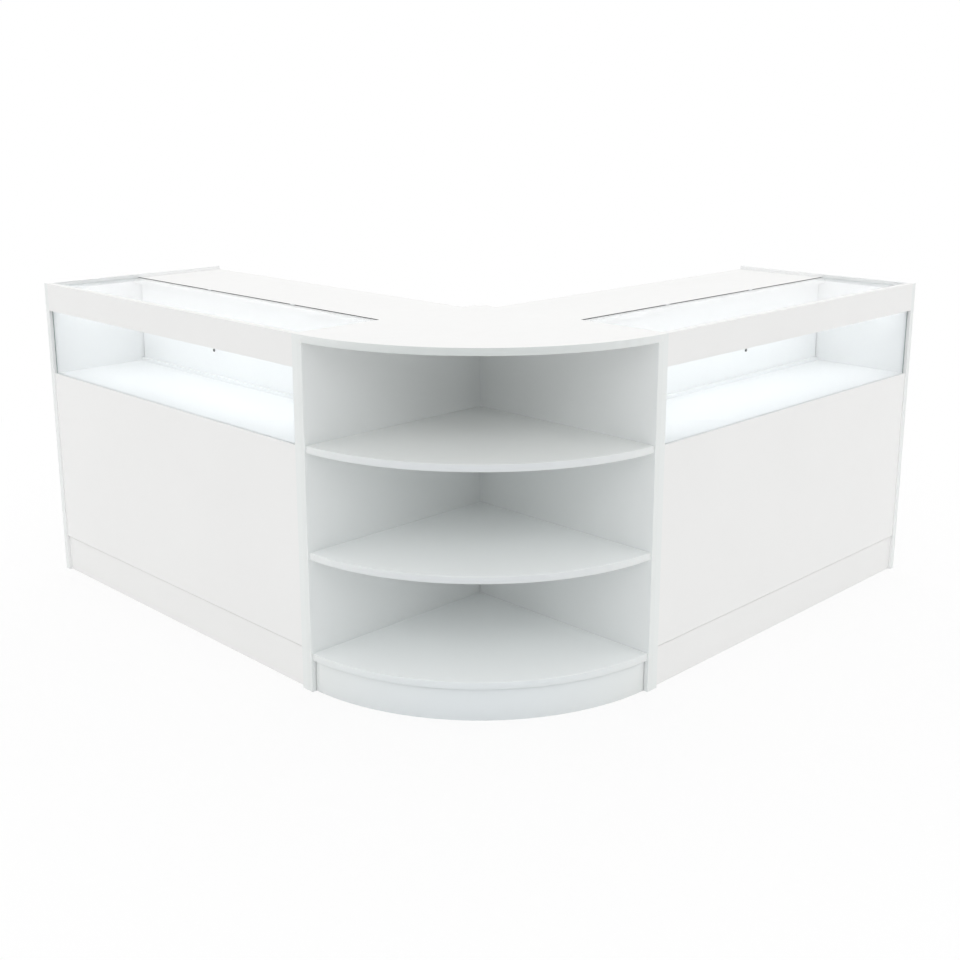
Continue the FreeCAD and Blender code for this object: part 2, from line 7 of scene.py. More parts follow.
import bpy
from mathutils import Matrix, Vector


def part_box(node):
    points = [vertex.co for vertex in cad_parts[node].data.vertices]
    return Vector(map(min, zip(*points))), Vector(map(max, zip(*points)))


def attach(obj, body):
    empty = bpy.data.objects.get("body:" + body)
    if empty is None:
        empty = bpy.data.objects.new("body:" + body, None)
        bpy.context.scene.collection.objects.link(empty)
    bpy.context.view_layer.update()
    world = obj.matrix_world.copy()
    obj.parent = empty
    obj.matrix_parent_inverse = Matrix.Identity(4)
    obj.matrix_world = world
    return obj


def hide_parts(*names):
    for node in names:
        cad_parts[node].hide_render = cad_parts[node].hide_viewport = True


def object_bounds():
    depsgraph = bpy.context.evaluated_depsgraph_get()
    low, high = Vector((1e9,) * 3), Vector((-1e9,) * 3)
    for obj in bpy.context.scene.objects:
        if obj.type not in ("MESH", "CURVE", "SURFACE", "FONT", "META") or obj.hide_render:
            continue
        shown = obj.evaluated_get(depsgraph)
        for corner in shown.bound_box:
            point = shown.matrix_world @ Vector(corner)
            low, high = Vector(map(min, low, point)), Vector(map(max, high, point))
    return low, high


bl_info = {
    "name": "Shop Counter",
    "version": (1, 0, 0),
    "blender": (4, 5, 0),
    "location": "3D View > Sidebar > Counter",
    "description": "Dresses a glazed corner counter and sets it in a pale studio",
    "category": "Object",
}

import math

import bmesh
import bpy
from bpy.props import FloatProperty, FloatVectorProperty, PointerProperty
from bpy.types import Operator, Panel, PropertyGroup
from mathutils import Matrix, Vector

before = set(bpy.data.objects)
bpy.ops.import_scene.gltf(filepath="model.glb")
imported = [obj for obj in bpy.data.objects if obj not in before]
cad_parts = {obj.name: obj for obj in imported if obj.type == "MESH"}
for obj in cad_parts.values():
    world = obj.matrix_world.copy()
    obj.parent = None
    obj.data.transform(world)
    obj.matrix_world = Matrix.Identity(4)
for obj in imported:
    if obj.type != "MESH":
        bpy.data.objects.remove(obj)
CAD_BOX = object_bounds()

SIDES = ("right", "left")
FIXED_BODY = "counter"
FLAP_BODIES = {"right": "right_flap", "left": "left_flap"}
UP = Vector((0, 0, 1))
INTO_WING = {"right": Vector((0, 1, 0)), "left": Vector((1, 0, 0))}
WING_BOARDS = (
    "front_rail", "plinth", "rear_kickboard", "worktop", "base_board", "storage_shelf", "front_batten",
    "rear_batten",
)
SILL_BOARDS = ("front_panel",)
# These boards get painted display light on the side that looks into a display.
BEFORE_DISPLAY = ("inner_gable", "display_floor")
BEYOND_DISPLAY = ("outer_gable", "flap", "flap_stop")
CORNER_BOARDS = (
    "corner_right_side", "corner_left_side", "corner_top", "corner_upper_shelf", "corner_lower_shelf",
    "corner_base_shelf", "corner_plinth",
)
# The shelves' face colours carry painted light and shade.
CORNER_FACES = {
    "corner_top": "face_colour",
    "corner_upper_shelf": "upper_shelf_painted_shade",
    "corner_lower_shelf": "lower_shelf_painted_light",
    "corner_base_shelf": "base_shelf_painted_light",
}
# Painted shade on the corner's curved edge bands: darkest on the top, lighter on the shelves, lightest on the
# base and plinth.
CORNER_EDGE_SHADES = {
    "corner_top": "top_edge_painted_shade",
    "corner_upper_shelf": "shelf_edge_painted_shade",
    "corner_lower_shelf": "shelf_edge_painted_shade",
    "corner_base_shelf": "base_edge_painted_shade",
    "corner_plinth": "base_edge_painted_shade",
}
METAL_LOOKS = {
    "anodised_aluminium": {"roughness": 0.34, "grain": 0.0006, "stretch": (0.02, 0.02, 1)},
    "satin_knob": {"roughness": 0.3, "grain": 0.0005},
    "dark_steel": {"roughness": 0.4, "grain": 0.0006},
    "bright_steel": {"roughness": 0.28, "grain": 0.0008},
    "cast_zinc": {"roughness": 0.45, "grain": 0.0007, "depth": 0.00003},
}
MOULDED_ROUGHNESS = {"light_board": 0.4, "dark_seal": 0.6, "white_nylon": 0.45}
EVEN_STRETCH = (1, 1, 1)
FINE_DEPTH = 0.00001
GLASS_IOR = 1.5
WELD_DISTANCE = 0.00001
BEVEL_STEPS = 2
ROUND_STEPS = 48
SHARP_ANGLE = math.radians(35)


def screen_colour(red, green, blue):
    """A colour given as screen levels from 0 to 255, as the linear numbers that shaders use."""
    shares = (level / 255 for level in (red, green, blue))
    return tuple(s / 12.92 if s <= 0.04045 else ((s + 0.055) / 1.055) ** 2.4 for s in shares)


def colour_property(title, description, levels):
    return FloatVectorProperty(name=title, description=description, subtype="COLOR", size=3, min=0, max=1,
                               default=screen_colour(*levels))


def length_property(title, description, size):
    return FloatProperty(name=title, description=description, default=size, min=0, unit="LENGTH", precision=4)


def place_property(title, description, place):
    return FloatVectorProperty(name=title, description=description, subtype="XYZ", size=3, default=place)


def share_property(title, description, share):
    return FloatProperty(name=title, description=description, default=share, min=0, max=1, subtype="FACTOR")


class CounterBoards(PropertyGroup):
    """Sizes and colours of the melamine boards."""

    face_colour: colour_property("Face", "Wide faces of the wings' boards", (237, 237, 236))
    # Painted light: a paler copy of the face colour, standing for the display lamps' light on faces into the
    # displays, and a painted highlight on the window sills.
    painted_light_colour: colour_property("Display painted light", "Faces into the displays, and window sills",
                                    (246, 247, 247))
    # Partly the band's own tone, partly painted shade: it goes on edges that face sideways, while edges that
    # look up keep the face colour.
    edge_colour: colour_property("Edge band", "Banded edges of the wings' boards", (231, 234, 233))
    corner_colour: colour_property("Corner face", "Wide faces of the corner's sides", (236, 239, 239))
    # Painted light and shade on the shelves: the upper shelf a shade deeper, the lower and base shelves
    # paler, for how light falls in the compartments.
    upper_shelf_painted_shade: colour_property("Upper shelf", "Wide faces of the upper shelf", (234, 237, 236))
    lower_shelf_painted_light: colour_property("Lower shelf", "Wide faces of the lower shelf", (242, 245, 245))
    base_shelf_painted_light: colour_property("Base shelf", "Wide faces of the base shelf", (244, 247, 247))
    corner_edge_colour: colour_property("Corner edge band", "Edges of the corner's sides", (229, 232, 231))
    # Painted shade on the corner's curved bands, darker higher up.
    base_edge_painted_shade: colour_property("Base edge band", "Curved plinth and edge above it", (223, 228, 230))
    shelf_edge_painted_shade: colour_property("Shelf edge band", "Edges of the corner's shelves", (216, 220, 222))
    top_edge_painted_shade: colour_property("Top edge band", "Edge of the corner's top", (208, 213, 212))
    edge_radius: length_property("Edge radius", "Rounding of the banded edges", 0.0008)
    cloud_share: share_property("Cloud", "Light left where the melamine is cloudiest", 0.985)
    pearl_spacing: length_property("Pearl spacing", "Distance between the pearl texture's dimples", 0.0014)
    pearl_depth: length_property("Pearl depth", "Depth of the pearl texture", 0.00003)
    gloss: share_property("Roughness", "Mean roughness of the melamine", 0.42)


class CounterGlass(PropertyGroup):
    """Sizes and colours of the panes and their clips."""

    tint: colour_property("Tint", "Colour of light through the panes", (252, 254, 255))
    edge_tint: colour_property("Front edge tint", "Ground edges of the front panes", (125, 150, 145))
    # Painted light: a paler copy of the ground edge's grey green, so the top panes' edges show lighter than
    # the front panes'.
    top_edge_painted_light_tint: colour_property("Top edge tint", "Ground edges of the top panes", (196, 212, 208))
    arris: length_property("Arris", "Chamfer along the panes' edges", 0.0006)
    seal_colour: colour_property("Seal", "Soft strip behind the top panes", (52, 54, 56))


class CounterHardware(PropertyGroup):
    """Sizes and colours of knobs, screws, cams and pins."""

    knob_colour: colour_property("Knob", "Satin metal of the knobs", (190, 188, 184))
    dark_colour: colour_property("Dark steel", "Blackened knob screws", (44, 45, 47))
    bright_colour: colour_property("Bright steel", "Plated pins, bolts and linking screws", (206, 208, 210))
    zinc_colour: colour_property("Zinc", "Cast cam locks", (168, 170, 172))
    nylon_colour: colour_property("Nylon", "Pivot bushes", (234, 233, 228))
    beech_colour: colour_property("Beech", "Corner dowels", (196, 154, 108))
    pin_rounding: length_property("Pin rounding", "Rounded edges of pins and bolts", 0.0004)
    bush_rounding: length_property("Bush rounding", "Rounded edges of the pivot bushes", 0.0003)
    dowel_rounding: length_property("Dowel rounding", "Rounded ends of the dowels", 0.0006)
    recess_share: share_property("Recess", "Drive recess across a head, as a share of the head", 0.55)
    recess_depth_share: share_property("Recess depth", "Drive recess depth, as a share of the head", 0.55)


class CounterLights(PropertyGroup):
    """The lit strips behind the front rails."""

    lens_colour: colour_property("Lens", "Light through the opal lens", (253, 254, 255))
    metal_colour: colour_property("Profile", "Anodised channel", (200, 202, 204))
    board_colour: colour_property("Strip", "Lacquer of the light strip", (240, 240, 236))
    profile_rounding: length_property("Profile rounding", "Rounded edges of profile and strip", 0.0002)
    lens_rounding: length_property("Lens rounding", "Rounded edges of the lens", 0.0003)
    lens_strength: FloatProperty(name="Lens glow", description="Brightness of the lens itself", default=1.6,
                                 min=0)
    lamp_power: FloatProperty(name="Strip power", description="Light straight from each strip", default=0.4,
                              min=0, unit="POWER")
    lamp_tilt: FloatProperty(name="Strip tilt", description="Strip's light below the level",
                             default=math.radians(24), subtype="ANGLE")
    fill_power: FloatProperty(name="Fill power", description="Strip's light scattered in each display",
                              default=0.24, min=0, unit="POWER")


class CounterStage(PropertyGroup):
    """Camera, floor and studio lamps."""

    camera_distance: length_property("Distance", "Camera from the middle axis along each wing", 2.3794)
    camera_height: length_property("Camera height", "Camera above the floor", 1.40925)
    camera_tilt: FloatProperty(name="Tilt", description="Camera below the horizon", default=0.2384,
                               subtype="ANGLE")
    focal_length: FloatProperty(name="Focal length", description="Millimetres on a 36 mm sensor",
                                default=48.49, min=1, unit="CAMERA")
    frame_shift: FloatProperty(name="Shift", description="Share of the frame below the lens axis",
                               default=-0.06635)
    floor_reach: length_property("Floor reach", "Half the floor's width", 9)
    floor_drop: length_property("Floor drop", "Floor below the counter's foot", 0.0002)
    floor_share: share_property("Floor paint", "How pale the floor's paint is", 0.94)
    horizon_light: FloatProperty(name="Horizon", description="Light from low all around", default=0.26, min=0)
    ring_light: FloatProperty(name="Ring", description="Light from half way up all around", default=1.72,
                              min=0)
    zenith_share: share_property("Zenith", "Light from straight above, as a share of the ring's", 0.32)
    top_place: place_property("Top softbox place", "Middle of the softbox above", (0.2, 0.2, 4.6))
    top_target: place_property("Top softbox target", "What the softbox above faces", (0.2, 0.2, 0.6))
    top_width: length_property("Top softbox width", "Side of the softbox above", 3.6)
    top_power: FloatProperty(name="Top softbox", description="Light from above", default=16, min=0,
                             unit="POWER")
    side_place: place_property("Side softbox place", "Middle of the right softbox", (2.1, -3.9, 1.5))
    side_target: place_property("Side softbox target", "What the right softbox faces", (0.6, -0.6, 0.45))
    side_width: length_property("Side softbox width", "Side of each side softbox", 2.2)
    side_power: FloatProperty(name="Side softboxes", description="Light on each wing's front", default=6.2,
                              min=0, unit="POWER")
    shadow_share: share_property("Shadow", "How much of the counter's shadow the pale floor shows", 0.2)
    shadow_start: length_property("Shadow start", "Where the shadow begins to fade, from the origin", 1.8)
    shadow_end: length_property("Shadow end", "Where the shadow has faded, from the origin", 3.2)


class Finish:
    """A material being put together: adds nodes, sets their sockets and joins them."""

    def __init__(self, owner):
        """Starts afresh in the nodes of a material or a world."""
        self.owner = owner
        owner.use_nodes = True
        self.tree = owner.node_tree
        self.tree.nodes.clear()

    def node(self, kind, sockets=None, **settings):
        made = self.tree.nodes.new(kind)
        for key, value in settings.items():
            setattr(made, key, value)
        for key, value in (sockets or {}).items():
            self.feed(made.inputs[key], value)
        return made

    def feed(self, socket, value):
        """Joins another node's output to a socket, or sets a plain value on it."""
        if isinstance(value, bpy.types.NodeSocket):
            self.tree.links.new(value, socket)
        elif socket.type == "RGBA" and len(value) == 3:
            socket.default_value = (*value, 1)
        else:
            socket.default_value = value

    def place(self):
        return self.node("ShaderNodeTexCoord").outputs["Object"]

    def stretched(self, vector, scales):
        return self.node("ShaderNodeMapping", {"Vector": vector, "Scale": scales}).outputs["Vector"]

    def noise(self, vector, spacing, detail=2.0):
        """Clouds whose patches are about spacing wide."""
        sockets = {"Vector": vector, "Scale": 1 / spacing, "Detail": detail}
        return self.node("ShaderNodeTexNoise", sockets).outputs["Fac"]

    def between(self, value, low, high, start=0.3, end=0.7):
        """Takes a value from start to end onto low to high."""
        sockets = {"Value": value, "From Min": start, "From Max": end, "To Min": low, "To Max": high}
        return self.node("ShaderNodeMapRange", sockets).outputs["Result"]

    def math(self, operation, *values):
        made = self.node("ShaderNodeMath", operation=operation)
        for socket, value in zip(made.inputs, values):
            self.feed(socket, value)
        return made.outputs["Value"]

    def blend(self, share, first, second, way="MIX"):
        made = self.node("ShaderNodeMix", data_type="RGBA", blend_type=way)
        for socket, value in zip((made.inputs[0], made.inputs[6], made.inputs[7]), (share, first, second)):
            self.feed(socket, value)
        return made.outputs[2]

    def times(self, first, second):
        """One colour through another."""
        return self.blend(1, first, second, "MULTIPLY")

    def bump(self, height, depth):
        sockets = {"Height": height, "Distance": depth, "Strength": 1}
        return self.node("ShaderNodeBump", sockets).outputs["Normal"]

    def shader(self, **sockets):
        """The surface's own shader, with sockets named in words joined by underscores."""
        named = {key.replace("_", " "): value for key, value in sockets.items()}
        return self.node("ShaderNodeBsdfPrincipled", named).outputs["BSDF"]

    def mix(self, share, first, second):
        made = self.node("ShaderNodeMixShader", {0: share, 1: first, 2: second})
        return made.outputs["Shader"]

    def open_to_lamps(self, surface, tint):
        """Lets lamplight straight through a clear surface, so that it casts no dark shadow."""
        open_way = self.node("ShaderNodeBsdfTransparent", {"Color": tint}).outputs["BSDF"]
        shadow = self.node("ShaderNodeLightPath").outputs["Is Shadow Ray"]
        return self.mix(shadow, surface, open_way)

    def done(self, surface):
        self.node("ShaderNodeOutputMaterial", {"Surface": surface})
        return self.owner


def new_finish(name):
    return Finish(bpy.data.materials.new(name))


def shaded(colour, share):
    return tuple(level * share for level in colour)


def thin_axis(node):
    """The axis across a board's thickness."""
    low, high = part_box(node)
    return min(range(3), key=lambda axis: (high - low)[axis])


def melamine(name, colours, edge_colour, axis, boards, curved=False, sill_highlight=None):
    """White pearl melamine whose upright banded edges are a shade deeper than its faces: partly the band's
    own tone, partly painted shade, since edges that look up keep the face colour.

    The first colour is for the face that looks along the axis, and the second for the face at its back; for
    boards by a display, one of them is painted display light.
    A curved board's band has painted shade: deepest at the middle of its curve, paler towards its ends. A
    sill highlight colour, painted light, goes on the edge that looks up.
    """
    cloud_spacing = 0.35
    haze_spacing = 0.03
    haze_swing = 0.04
    turn_shares = (0.4, 0.8)
    curve_shade_shares = (0, 0.5)
    finish = new_finish(name)
    place = finish.place()
    clouds = finish.noise(place, cloud_spacing, 3)
    normal = finish.node("ShaderNodeTexCoord").outputs["Normal"]
    parts = finish.node("ShaderNodeSeparateXYZ", {"Vector": normal})
    front, back = colours
    colour = finish.blend(finish.math("GREATER_THAN", parts.outputs[axis], 0), back, front)
    cloud_shade = (boards.cloud_share,) * 3
    face = finish.blend(finish.between(clouds, 0, 1), colour, finish.times(colour, cloud_shade))
    flatness = finish.math("ABSOLUTE", parts.outputs[axis])
    level = finish.math("ABSOLUTE", parts.outputs["Z"])
    # Painted shade: only edges that face sideways get the deeper band.
    upright = finish.between(level, 1, 0, *turn_shares)
    edge = finish.math("MULTIPLY", upright, finish.between(flatness, 1, 0, *turn_shares))
    band = edge_colour
    # Painted shade: a curved board's band is deepest at the middle of its curve and pales to the plain corner
    # band at its ends.
    if curved:
        slant = finish.math("MULTIPLY", parts.outputs["X"], parts.outputs["Y"])
        turned = finish.between(slant, 0, 1, *curve_shade_shares)
        band = finish.blend(turned, boards.corner_edge_colour, edge_colour)
    base = finish.blend(edge, face, band)
    # Painted highlight: the edge that looks up takes the sill colour.
    if sill_highlight is not None:
        base = finish.blend(finish.between(parts.outputs["Z"], 0, 1, *turn_shares), base, sill_highlight)
    pearl = finish.noise(place, boards.pearl_spacing, 1)
    haze = finish.noise(place, haze_spacing)
    return finish.done(finish.shader(
        Base_Color=base,
        Roughness=finish.between(haze, boards.gloss - haze_swing, boards.gloss + haze_swing),
        Normal=finish.bump(pearl, boards.pearl_depth),
    ))


def clear_glass(glass):
    """Faces of the panes: clear with faint smears, and open to lamplight."""
    smear_spacing = 0.12
    smear_roughness = 0.012
    finish = new_finish("clear_glass")
    smears = finish.noise(finish.place(), smear_spacing, 4)
    pane = finish.shader(
        Base_Color=glass.tint,
        Roughness=finish.between(smears, 0, smear_roughness),
        IOR=GLASS_IOR,
        Transmission_Weight=1,
    )
    return finish.done(finish.open_to_lamps(pane, glass.tint))


def ground_edge(name, tint):
    """Ground edges of a pane: grey green with fine marks."""
    mark_spacing = 0.0008
    mark_share = 0.7
    smooth, rough = 0.3, 0.45
    finish = new_finish(name)
    marks = finish.noise(finish.place(), mark_spacing, 3)
    return finish.done(finish.shader(
        Base_Color=finish.blend(marks, tint, shaded(tint, mark_share)),
        Roughness=finish.between(marks, smooth, rough),
        IOR=GLASS_IOR,
    ))


def clear_plastic(glass):
    """Clear clips with a faint haze, open to lamplight like the panes."""
    haze_spacing = 0.004
    haze_share = 0.94
    smooth, rough = 0.18, 0.3
    plastic_ior = 1.49
    clear_share = 0.25
    finish = new_finish("clear_plastic")
    haze = finish.noise(finish.place(), haze_spacing)
    clip = finish.shader(
        Base_Color=finish.blend(haze, glass.tint, shaded(glass.tint, haze_share)),
        Roughness=finish.between(haze, smooth, rough),
        IOR=plastic_ior,
        Transmission_Weight=clear_share,
    )
    return finish.done(finish.open_to_lamps(clip, glass.tint))


def metal(name, colour):
    """Bare or plated metal with fine grain, drawn out along the length of what was pulled."""
    swing = 0.06
    streak_share = 0.85
    look = METAL_LOOKS[name]
    roughness = look["roughness"]
    finish = new_finish(name)
    place = finish.stretched(finish.place(), look.get("stretch", EVEN_STRETCH))
    streaks = finish.noise(place, look["grain"], 3)
    return finish.done(finish.shader(
        Base_Color=finish.blend(streaks, colour, shaded(colour, streak_share)),
        Metallic=1,
        Roughness=finish.between(streaks, roughness - swing, roughness + swing),
        Normal=finish.bump(streaks, look.get("depth", FINE_DEPTH)),
    ))


def bright_steel(hardware):
    """Plated steel, made once for all the pieces that have it."""
    return bpy.data.materials.get("bright_steel") or metal("bright_steel", hardware.bright_colour)


def moulded(name, colour):
    """Moulded plastic or lacquer with a faint mottle."""
    mottle_spacing = 0.002
    mottle_share = 0.94
    swing = 0.05
    roughness = MOULDED_ROUGHNESS[name]
    finish = new_finish(name)
    mottle = finish.noise(finish.place(), mottle_spacing)
    return finish.done(finish.shader(
        Base_Color=finish.blend(mottle, colour, shaded(colour, mottle_share)),
        Roughness=finish.between(mottle, roughness - swing, roughness + swing),
        Normal=finish.bump(mottle, FINE_DEPTH),
    ))


def opal_lens(lights):
    """Lit opal lens with a fine grain along its length."""
    grain_spacing = 0.002
    grain_stretch = (0.1, 0.1, 1)
    pale, deep = (0.9, 0.92, 0.94), (0.84, 0.86, 0.88)
    smooth, rough = 0.35, 0.5
    finish = new_finish("opal_lens")
    grain = finish.noise(finish.stretched(finish.place(), grain_stretch), grain_spacing)
    return finish.done(finish.shader(
        Base_Color=finish.blend(grain, pale, deep),
        Roughness=finish.between(grain, smooth, rough),
        Emission_Color=lights.lens_colour,
        Emission_Strength=lights.lens_strength,
    ))


def beech(hardware):
    """Beech with grain along the dowel."""
    grain_spacing = 0.0012
    grain_stretch = (1, 1, 0.05)
    grain_depth = 0.0001
    grain_share = 0.7
    smooth, rough = 0.55, 0.7
    finish = new_finish("beech")
    grain = finish.noise(finish.stretched(finish.place(), grain_stretch), grain_spacing, 4)
    return finish.done(finish.shader(
        Base_Color=finish.blend(grain, hardware.beech_colour, shaded(hardware.beech_colour, grain_share)),
        Roughness=finish.between(grain, smooth, rough),
        Normal=finish.bump(grain, grain_depth),
    ))


def put_finish(piece, *materials):
    """Gives a piece these materials, in order, in place of what it had."""
    piece.data.materials.clear()
    for material in materials:
        piece.data.materials.append(material)


def round_edges(piece, radius):
    """Joins the faces of a carried-over solid and rounds its sharp edges."""
    weld = piece.modifiers.new("Joined faces", "WELD")
    weld.merge_threshold = WELD_DISTANCE
    bevel = piece.modifiers.new("Rounded edges", "BEVEL")
    bevel.width = radius
    bevel.segments = BEVEL_STEPS
    bevel.limit_method = "ANGLE"
    bevel.angle_limit = SHARP_ANGLE
    bevel.harden_normals = True


def dress(node, material, radius):
    """Finishes a carried-over solid whose shape is right."""
    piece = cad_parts[node]
    put_finish(piece, material)
    round_edges(piece, radius)


def new_piece(name, work, body, slot, node, *materials):
    """Turns a worked mesh into a piece that rides on a body and stands for a node's solids."""
    mesh = bpy.data.meshes.new(name)
    bmesh.ops.recalc_face_normals(work, faces=work.faces)
    work.to_mesh(mesh)
    work.free()
    mesh.set_sharp_from_angle(angle=SHARP_ANGLE)
    piece = bpy.data.objects.new(name, mesh)
    bpy.context.scene.collection.objects.link(piece)
    for material in materials:
        mesh.materials.append(material)
    for face in mesh.polygons:
        face.use_smooth = True
    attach(piece, body)
    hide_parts(node)


def solids_of(node):
    """Lowest and highest corner of each separate solid in a node, in a steady order."""
    work = bmesh.new()
    work.from_mesh(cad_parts[node].data)
    bmesh.ops.remove_doubles(work, verts=work.verts, dist=WELD_DISTANCE)
    found = []
    waiting = set(work.verts)
    for start in list(work.verts):
        if start not in waiting:
            continue
        waiting.discard(start)
        island = [start]
        for vertex in island:
            for edge in vertex.link_edges:
                other = edge.other_vert(vertex)
                if other in waiting:
                    waiting.discard(other)
                    island.append(other)
        places = [vertex.co for vertex in island]
        low = Vector(min(place[axis] for place in places) for axis in range(3))
        high = Vector(max(place[axis] for place in places) for axis in range(3))
        found.append((low, high))
    work.free()
    return sorted(found, key=lambda box: tuple(round(level, 5) for level in box[0]))


def add_turned(work, profile, matrix):
    """Turns (radius, height) points round Z. A radius of zero closes the piece at its axis.

    Returns the last ring, which is left open where its radius isn't zero.
    """
    rings = []
    for radius, height in profile:
        count = ROUND_STEPS if radius > 0 else 1
        angles = (2 * math.pi * step / count for step in range(count))
        places = (Vector((radius * math.cos(angle), radius * math.sin(angle), height)) for angle in angles)
        rings.append([work.verts.new(matrix @ place) for place in places])
    for lower, upper in zip(rings, rings[1:]):
        for step in range(ROUND_STEPS):
            corners = [lower[step % len(lower)], lower[(step + 1) % len(lower)],
                       upper[(step + 1) % len(upper)], upper[step % len(upper)]]
            work.faces.new(list(dict.fromkeys(corners)))
    return rings[-1]


def add_cross_recess(work, ring, centre_height, reach, depth, matrix):
    """Closes a head's open ring with a flat face that has a tapered cross sunk into it."""
    arm_share = 0.28
    floor_share = 0.62
    tip_share = 1.25
    half = reach * arm_share
    quarter = ((reach, -half), (reach, half), (half, half))
    outline = []
    for turn in range(4):
        spin = Matrix.Rotation(turn * math.pi / 2, 2)
        outline.extend(spin @ Vector(point) for point in quarter)
    top = [work.verts.new(matrix @ Vector((*point, centre_height))) for point in outline]
    floor = [work.verts.new(matrix @ Vector((*(point * floor_share), centre_height - depth)))
             for point in outline]
    tip = work.verts.new(matrix @ Vector((0, 0, centre_height - depth * tip_share)))
    border = []
    for loop in (ring, top):
        for first, second in zip(loop, loop[1:] + loop[:1]):
            border.append(work.edges.get((first, second)) or work.edges.new((first, second)))
    bmesh.ops.triangle_fill(work, use_beauty=True, edges=border, normal=matrix.to_3x3() @ UP)
    for number in range(len(top)):
        after = (number + 1) % len(top)
        work.faces.new((top[number], top[after], floor[after], floor[number]))
        work.faces.new((floor[number], floor[after], tip))


def facing(direction, place):
    """Puts a piece made along +Z at a place, pointing in a direction."""
    return Matrix.Translation(place) @ UP.rotation_difference(direction).to_matrix().to_4x4()


def slab(low, high, chamfer):
    """A pane or strip with chamfered edges, as a mesh in work."""
    work = bmesh.new()
    bmesh.ops.create_cube(work, size=1)
    size = high - low
    for vertex in work.verts:
        vertex.co = low + Vector((vertex.co[axis] + 0.5) * size[axis] for axis in range(3))
    bmesh.ops.bevel(work, geom=list(work.edges), offset=chamfer, segments=1, affect="EDGES", profile=0.5)
    return work


class COUNTER_OT_wing_boards(Operator):
    """Finish the boards and strips of both wings"""

    bl_idname = "counter.wing_boards"
    bl_label = "Wing Boards"

    def execute(self, context):
        boards = context.scene.counter_boards
        plain = boards.face_colour
        # Painted light for faces into the displays, and a painted highlight on the sills.
        display = boards.painted_light_colour
        self.finish_boards(WING_BOARDS, "white_melamine", (plain, plain), boards)
        self.finish_boards(SILL_BOARDS, "sill_melamine", (plain, plain), boards, display)
        self.finish_boards(BEFORE_DISPLAY, "before_display_melamine", (display, plain), boards)
        self.finish_boards(BEYOND_DISPLAY, "beyond_display_melamine", (plain, display), boards)
        return {"FINISHED"}

    def finish_boards(self, names, title, colours, boards, sill_highlight=None):
        """One finish for each way that these boards lie."""
        finishes = {}
        for side in SIDES:
            for name in names:
                node = f"{side}_{name}"
                axis = thin_axis(node)
                if axis not in finishes:
                    finishes[axis] = melamine(f"{title}_{'xyz'[axis]}", colours, boards.edge_colour, axis,
                                              boards, sill_highlight=sill_highlight)
                dress(node, finishes[axis], boards.edge_radius)


class COUNTER_OT_corner_boards(Operator):
    """Finish the boards of the quarter-round corner unit"""

    bl_idname = "counter.corner_boards"
    bl_label = "Corner Boards"

    def execute(self, context):
        boards = context.scene.counter_boards
        for node in CORNER_BOARDS:
            colour = getattr(boards, CORNER_FACES.get(node, "corner_colour"))
            # The curved boards' bands carry painted shade; the sides keep the plain corner band.
            edge_colour = getattr(boards, CORNER_EDGE_SHADES.get(node, "corner_edge_colour"))
            finish = melamine(f"{node}_melamine", (colour, colour), edge_colour, thin_axis(node), boards,
                              node in CORNER_EDGE_SHADES)
            dress(node, finish, boards.edge_radius)
        return {"FINISHED"}


class COUNTER_OT_glazing(Operator):
    """Make the arrised panes and finish their clips"""

    bl_idname = "counter.glazing"
    bl_label = "Glazing"

    def execute(self, context):
        flat_share = 0.99
        glass = context.scene.counter_glass
        faces = clear_glass(glass)
        tints = {"front_glass": glass.edge_tint, "top_glass": glass.top_edge_painted_light_tint}
        edges = {name: ground_edge(f"ground_{name}_edge", tint) for name, tint in tints.items()}
        for side in SIDES:
            for name in tints:
                node = f"{side}_{name}"
                axis = thin_axis(node)
                work = slab(*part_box(node), glass.arris)
                for face in work.faces:
                    face.normal_update()
                    face.material_index = int(abs(face.normal[axis]) < flat_share)
                new_piece(f"{node}_pane", work, FIXED_BODY, "clear_glass", node, faces, edges[name])
        dress("glass_clips", clear_plastic(glass), glass.arris)
        dress("glass_seals", moulded("dark_seal", glass.seal_colour), glass.arris)
        return {"FINISHED"}


class COUNTER_OT_display_lights(Operator):
    """Finish the light profiles, strips and lenses, and light the displays"""

    bl_idname = "counter.display_lights"
    bl_label = "Display Lights"

    def execute(self, context):
        lights = context.scene.counter_lights
        profile = metal("anodised_aluminium", lights.metal_colour)
        lens = opal_lens(lights)
        lacquer = moulded("light_board", lights.board_colour)
        for side in SIDES:
            dress(f"{side}_light_profile", profile, lights.profile_rounding)
            dress(f"{side}_light_lens", lens, lights.lens_rounding)
            dress(f"{side}_light_strip", lacquer, lights.profile_rounding)
            self.light_display(side, lights)
        return {"FINISHED"}

    def light_display(self, side, lights):
        """A long lamp over the lens, and a broad one under the top pane for the light that is scattered."""
        inward = INTO_WING[side]
        low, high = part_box(f"{side}_light_lens")
        size = high - low
        length = max(size.x, size.y)
        aim = inward * math.cos(lights.lamp_tilt) - UP * math.sin(lights.lamp_tilt)
        place = (low + high) / 2 + inward * size.z
        add_lamp(f"{side}_display_lamp", place, aim, length, size.z, lights.lamp_power, lights.lens_colour)
        low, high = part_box(f"{side}_top_glass")
        size = high - low
        place = (low + high) / 2 - UP * size.z
        add_lamp(f"{side}_display_fill", place, -UP, length, min(size.x, size.y), lights.fill_power,
                 lights.lens_colour, inward)


def add_softbox(name, place, target, width, power):
    """A square white lamp that faces a target."""
    aim = (target - place).normalized()
    upright = INTO_WING["right"] if abs(aim.z) > abs(aim.y) else UP
    add_lamp(name, place, aim, width, width, power, (1, 1, 1), upright)


